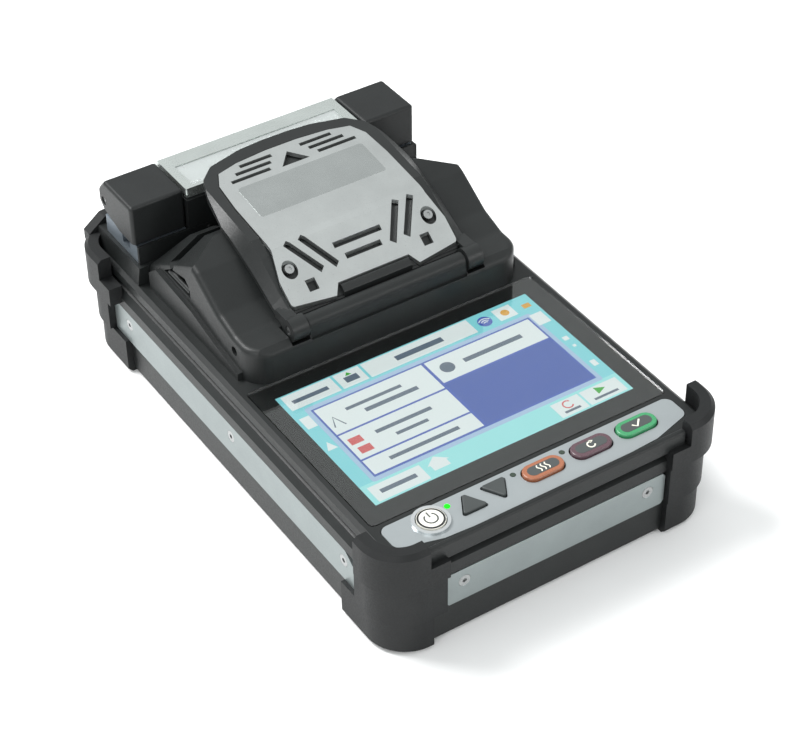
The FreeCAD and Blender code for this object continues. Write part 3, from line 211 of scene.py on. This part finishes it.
def arc(cx, cy, radius, start, end, steps):
    """Points on a circle, from one angle to another in degrees."""
    turn = math.radians(end - start) / steps
    first = math.radians(start)
    return [(cx + radius * math.cos(first + i * turn), cy + radius * math.sin(first + i * turn))
            for i in range(steps + 1)]


def round_rect(x0, y0, x1, y1, radius, steps=6):
    points = []
    for cx, cy, start in ((x1 - radius, y0 + radius, -90), (x1 - radius, y1 - radius, 0),
                          (x0 + radius, y1 - radius, 90), (x0 + radius, y0 + radius, 180)):
        points += arc(cx, cy, radius, start, start + 90, steps)
    return points


def stroke(points, width):
    """The outline of a line of even width through the points."""
    left, right = [], []
    for i, (x, y) in enumerate(points):
        ax, ay = points[max(0, i - 1)]
        bx, by = points[min(len(points) - 1, i + 1)]
        run = math.hypot(bx - ax, by - ay)
        nx, ny = -(by - ay) / run * width / 2, (bx - ax) / run * width / 2
        left.append((x + nx, y + ny))
        right.append((x - nx, y - ny))
    return right + left[::-1]


def layer(name, outlines, low, high, mat, body, bevel=0.0, rise=None):
    """One piece of plates: each outline in millimetres, from low to high, on a slope if rise is given."""
    verts, faces = [], []
    rise = rise or (lambda y: 0.0)
    for points in outlines:
        area = sum(points[i - 1][0] * p[1] - p[0] * points[i - 1][1] for i, p in enumerate(points))
        loop = list(points) if area > 0 else list(points)[::-1]
        start, count = len(verts), len(loop)
        verts += [(x * MM, y * MM, (low + rise(y)) * MM) for x, y in loop]
        verts += [(x * MM, y * MM, (high + rise(y)) * MM) for x, y in loop]
        faces.append([start + count + i for i in range(count)])
        faces.append([start + count - 1 - i for i in range(count)])
        for i in range(count):
            j = (i + 1) % count
            faces.append([start + i, start + j, start + count + j, start + count + i])
    mesh = bpy.data.meshes.new(name)
    mesh.from_pydata(verts, [], faces)
    mesh.materials.append(mat)
    piece = bpy.data.objects.new(name, mesh)
    bpy.context.scene.collection.objects.link(piece)
    if bevel:
        soft = piece.modifiers.new("soft_edges", "BEVEL")
        soft.width = bevel * MM
        soft.segments = 2
        soft.limit_method = "ANGLE"
    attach(piece, body)
    return piece


# ---- display picture -----------------------------------------------------------------------

GLASS_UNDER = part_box("display_glass")[0][2] / MM
PICTURE_DEEP = 0.34
LCD_X, LCD_FRONT, LCD_REAR = 49.2, -70.5, -10.8
SCREEN_COLOURS = {
    "cyan": (0.50, 0.82, 0.85),
    "pale": (0.87, 0.91, 0.91),
    "haze": (0.64, 0.75, 0.86),
    "blue": (0.27, 0.37, 0.66),
    "line": (0.28, 0.38, 0.70),
    "grey": (0.36, 0.42, 0.48),
    "mint": (0.60, 0.88, 0.88),
    "green": (0.26, 0.66, 0.24),
    "rose": (0.80, 0.36, 0.36),
    "gold": (0.84, 0.62, 0.22),
}


def picture():
    """The lit picture under the glass, with plain bars in place of words."""
    base = GLASS_UNDER - PICTURE_DEEP
    sheets = [("screen_border", [rect(-55.6, -78.2, 55.6, -4.7)], MATS["screen_module"])]
    colours = {name: lit("screen_" + name, value, 1.0) for name, value in SCREEN_COLOURS.items()}
    sheets.append(("screen_ground", [rect(-LCD_X, LCD_FRONT, LCD_X, LCD_REAR)], colours["cyan"]))
    sheets.append(("screen_footer", [rect(-LCD_X, LCD_FRONT, LCD_X, -61.0)], colours["mint"]))
    sheets.append(("screen_window_glow", [round_rect(-44.2, -61.4, 44.2, -20.2, 1.0)], colours["haze"]))
    sheets.append(("screen_window_edge", [rect(-42.6, -59.6, 42.6, -21.9)], colours["line"]))
    rows = ((-22.6, -36.6), (-37.4, -50.6), (-51.4, -58.7))
    boxes = [rect(-41.9, low, -0.9, high) for high, low in rows]
    boxes.append(rect(0.2, -34.4, 41.9, -22.6))
    boxes += [rect(-47.6, -19.0, -29.0, -11.4), rect(-28.0, -19.0, -18.4, -11.4), rect(-17.4, -19.0, 24.4,
            -11.4)]
    boxes += [rect(34.0, -18.6, 41.0, -12.4), rect(43.2, -27.6, 48.0, -21.4)]
    boxes += [rect(-47.4, -69.8, -28.4, -62.6), rect(21.8, -69.8, 32.4, -62.6), rect(33.2, -69.8, 47.6,
            -62.6)]
    boxes.append([(-25.6, -67.6), (-19.6, -67.6), (-19.6, -65.0), (-18.6, -65.0), (-22.6, -61.8),
                  (-26.6, -65.0),
                  (-25.6, -65.0)])
    boxes += [rect(-48.0, -29.4, -44.4, -23.6), [(-48.2, -41.6), (-44.6, -41.6), (-46.4, -37.6)]]
    boxes += [rect(45.4, -38.8, 47.4, -36.8), rect(45.6, -54.6, 47.6, -51.6), rect(46.0, -43.0, 47.2,
            -41.8)]
    sheets.append(("screen_boxes", boxes, colours["pale"]))
    sheets.append(("screen_field", [rect(0.2, -58.7, 41.9, -35.2)], colours["blue"]))
    bars = [rect(-45.4, -16.4, -32.0, -14.6), rect(-6.0, -16.6, 12.4, -14.2)]
    bars += [rect(-33.0, -28.4, -12.0, -27.0), rect(-28.0, -32.4, -8.0, -30.6)]
    bars += [rect(-31.0, -43.0, -10.0, -41.4), rect(-26.0, -47.2, -14.0, -45.8)]
    bars += [rect(-34.0, -55.8, -8.0, -54.2), rect(12.0, -29.6, 35.0, -27.6)]
    bars += [rect(-44.6, -67.0, -31.4, -65.2), rect(24.0, -68.6, 30.0, -67.6), rect(35.6, -68.6, 45.0,
            -67.6)]
    bars.append(arc(5.6, -28.4, 2.6, 0, 360, 20)[:-1])
    bars += [rect(-25.6, -17.0, -20.6, -14.2), stroke([(-40.4, -33.4), (-38.6, -28.6), (-36.6, -33.8)],
                                                      0.5)]
    sheets.append(("screen_bars", bars, colours["grey"]))
    sheets.append(("screen_green_marks", [[(38.4, -66.6), (38.4, -63.2), (42.0, -64.9)],
                                          [(-24.4, -13.8), (-22.0, -13.8), (-23.2,
                                                  -12.2)]], colours["green"]))
    ring = stroke(arc(27.0, -65.2, 1.7, 40, 330, 14), 0.5)
    sheets.append(("screen_rose_marks",
                   [ring, rect(-40.6, -43.6, -36.0, -40.4), rect(-40.0, -48.6, -35.4, -45.4)],
                   colours["rose"]))
    sheets.append(("screen_gold_marks",
                   [arc(37.5, -15.6, 1.6, 0, 360, 10)[:-1], rect(44.2, -17.6, 47.2, -15.4)],
                   colours["gold"]))
    badge = arc(29.2, -15.8, 2.6, 0, 360, 22)[:-1]
    sheets.append(("screen_badge", [badge], colours["line"]))
    signal = [stroke(arc(29.2, -17.2, r, 40, 140, 8), 0.4) for r in (1.0, 1.9, 2.8)]
    sheets.append(("screen_badge_mark", signal, colours["pale"]))
    step = (PICTURE_DEEP - 0.02) / len(sheets)
    for i, (name, outlines, mat) in enumerate(sheets):
        low = base + i * step
        layer(name, outlines, low, low + step * 0.6, mat, "case")


# ---- key faces -----------------------------------------------------------------------------

def center(name):
    low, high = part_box(name)
    return (low[0] + high[0]) / 2 / MM, (low[1] + high[1]) / 2 / MM, high[2] / MM


def key_faces():
    """Dark inlays and cream symbols on the long keys, and the power symbol."""
    inlay_length, inlay_width = 11.4, 4.0
    for name in ("heat_key", "reset_key", "set_key"):
        x, y, top = center(name)
        face = round_rect(x - inlay_length / 2, y - inlay_width / 2, x + inlay_length / 2,
                          y + inlay_width / 2,
                          inlay_width / 2 - 0.02, 8)
        layer(name + "_inlay", [face], top - 0.1, top + 0.07, INLAY, name, 0.04)
        if name == "heat_key":
            marks = []
            for shift in (-1.5, 0.0, 1.5):
                wave = [(x + shift + 0.42 * math.sin(math.pi * i / 6),
                         y - 1.5 + 0.25 * i) for i in range(13)]
                marks.append(stroke(wave, 0.42))
        elif name == "reset_key":
            marks = [stroke(arc(x, y, 1.25, 60, 340, 20), 0.5),
                     [(x + 0.2, y + 0.5), (x + 0.3, y + 1.9), (x + 1.5, y + 1.3)]]
        else:
            marks = [stroke([(x - 1.7, y + 0.1), (x - 0.4, y - 1.2), (x + 1.9, y + 1.3)], 0.6)]
        layer(name + "_symbol", marks, top + 0.05, top + 0.13, INK, name)
    x, y, top = center("power_button")
    rim = arc(x, y, 4.45, 0, 360, 40)[:-1]
    layer("power_rim", [rim], top - 0.3, top + 0.06, GLOSS_BLACK, "power_button", 0.05)
    disc = arc(x, y, 3.75, 0, 360, 40)[:-1]
    layer("power_disc", [disc], top - 0.2, top + 0.14, MATS["power_white"], "power_button",
          0.06)
    symbol = [stroke(arc(x, y, 2.1, 125, 415, 26), 0.5), stroke([(x, y + 0.5), (x, y + 2.9)], 0.5)]
    layer("power_symbol", symbol, top + 0.12, top + 0.2, INLAY, "power_button")


# ---- cover, heater and lamp details --------------------------------------------------------

LAMP_RADIUS = 0.9


def plate_rise(y):
    """Height of the cover plate's upper face behind its bend."""
    return 71.0 + (y - 24.0) * 4.5 / 38.0


def stud(name, spot, radius, length, axis, mat, body):
    """A small round piece, its axis along x, y or z, centred on the spot in millimetres."""
    bevel, sides = 0.12, 24
    rings = ((-length / 2, radius), (length / 2 - bevel, radius), (length / 2, radius - bevel))
    order = {"x": (1, 2, 0), "y": (0, 2, 1), "z": (0, 1, 2)}[axis]
    verts = []
    for height, size in rings:
        for x, y in arc(0, 0, size, 0, 360, sides)[:-1]:
            flat = (x, y, height)
            local = [0, 0, 0]
            for i in range(3):
                local[order[i]] = flat[i]
            verts.append(tuple((local[i] + spot[i]) * MM for i in range(3)))
    faces = [list(range(sides))[::-1], list(range(2 * sides, 3 * sides))]
    for ring in range(2):
        for i in range(sides):
            j = (i + 1) % sides
            first = ring * sides
            faces.append([first + i, first + j, first + sides + j, first + sides + i])
    mesh = bpy.data.meshes.new(name)
    mesh.from_pydata(verts, [], faces)
    mesh.materials.append(mat)
    piece = bpy.data.objects.new(name, mesh)
    bpy.context.scene.collection.objects.link(piece)
    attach(piece, body)
    return piece


def details():
    """The lit lamp, the plain name panel on the cover, and the screw in the heater's front wall."""
    low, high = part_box("indicator_lamps")
    spot = (low[0] / MM + LAMP_RADIUS, low[1] / MM + LAMP_RADIUS, high[2] / MM + 0.04)
    stud("power_lamp_glow", spot, 0.95, 0.3, "z", lit("lamp_glow", (0.05, 1.0, 0.03), 2.0), "case")
    panel_shape = [round_rect(-24.5, 36.0, 24.5, 52.0, 1.2)]
    panel_mat = surface("cover_recess", (0.40, 0.42, 0.415), 0.28, metal=0.95, depth=0.004 * MM, vary=0.05)
    layer("name_recess", panel_shape, 0.0, 0.04, panel_mat, "cover", rise=plate_rise)
    heater_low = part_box("heater_base")[0]
    front = heater_low[1] / MM
    stud("heater_wall_screw", (-27.8, front, 51.3), 1.1, 0.5, "y", MATS["screw_steel"], "case")


# ---- stage, light and camera ---------------------------------------------------------------

def studio():
    """A plain white floor, a sky that fades towards the horizon, and three soft lamps."""
    floor_mat = surface("floor_paper", (0.90, 0.90, 0.90), 0.7, depth=0.0, vary=0.005, specular=0.1)
    half = 3.0
    corners = [(-half, -half, 0), (half, -half, 0), (half, half, 0), (-half, half, 0)]
    mesh = bpy.data.meshes.new("floor")
    mesh.from_pydata(corners, [], [(0, 1, 2, 3)])
    mesh.materials.append(floor_mat)
    floor = bpy.data.objects.new("floor", mesh)
    bpy.context.scene.collection.objects.link(floor)
    world = bpy.data.worlds.new("studio")
    world.use_nodes = True
    tree = world.node_tree
    coords = tree.nodes.new("ShaderNodeTexCoord")
    parts = tree.nodes.new("ShaderNodeSeparateXYZ")
    tree.links.new(coords.outputs["Generated"], parts.inputs["Vector"])
    fade = tree.nodes.new("ShaderNodeMapRange")
    fade.inputs["From Min"].default_value = 0.0
    fade.inputs["From Max"].default_value = 0.8
    fade.inputs["To Min"].default_value = 0.45
    fade.inputs["To Max"].default_value = 0.95
    tree.links.new(parts.outputs["Z"], fade.inputs["Value"])
    tree.nodes["Background"].inputs["Color"].default_value = (0.97, 1.0, 1.0, 1)
    tree.links.new(fade.outputs["Result"], tree.nodes["Background"].inputs["Strength"])
    bpy.context.scene.world = world
    for name, place, size, power in (("key_light", (-0.5, 0.6, 1.1), 0.6, 20.0),
                                     ("fill_light", (-0.9, -0.7, 0.7), 0.8, 5.0),
                                     ("front_light", (0.7, -1.1, 0.6), 0.6, 4.0)):
        lamp = bpy.data.lights.new(name, "AREA")
        lamp.energy = power
        lamp.size = size
        holder = bpy.data.objects.new(name, lamp)
        holder.location = place
        aim = Vector((0, 0, 0.03)) - Vector(place)
        holder.rotation_euler = aim.to_track_quat("-Z", "Y").to_euler()
        bpy.context.scene.collection.objects.link(holder)


def camera():
    """A long lens from the user's left, above the front."""
    azimuth, elevation, roll = math.radians(-32.73), math.radians(40.12), math.radians(0.79)
    distance, aside, upward = 0.77307, -0.004428, -0.01099
    back = Vector((math.sin(azimuth) * math.cos(elevation), -math.cos(azimuth) * math.cos(elevation),
                   math.sin(elevation)))
    flat = Vector((math.cos(azimuth), math.sin(azimuth), 0))
    rise = back.cross(flat)
    right = math.cos(roll) * flat - math.sin(roll) * rise
    up = math.sin(roll) * flat + math.cos(roll) * rise
    spot = back * distance - right * aside - up * upward
    data = bpy.data.cameras.new("camera")
    data.sensor_width = 36.0
    data.lens = 101.3
    data.shift_y = 0.0178
    data.clip_start = 0.01
    holder = bpy.data.objects.new("camera", data)
    turn = Matrix((right, up, back)).transposed()
    holder.matrix_world = Matrix.Translation(spot) @ turn.to_4x4()
    bpy.context.scene.collection.objects.link(holder)
    bpy.context.scene.camera = holder


picture()
key_faces()
details()
studio()
camera()
bpy.context.scene.view_settings.view_transform = "Standard"
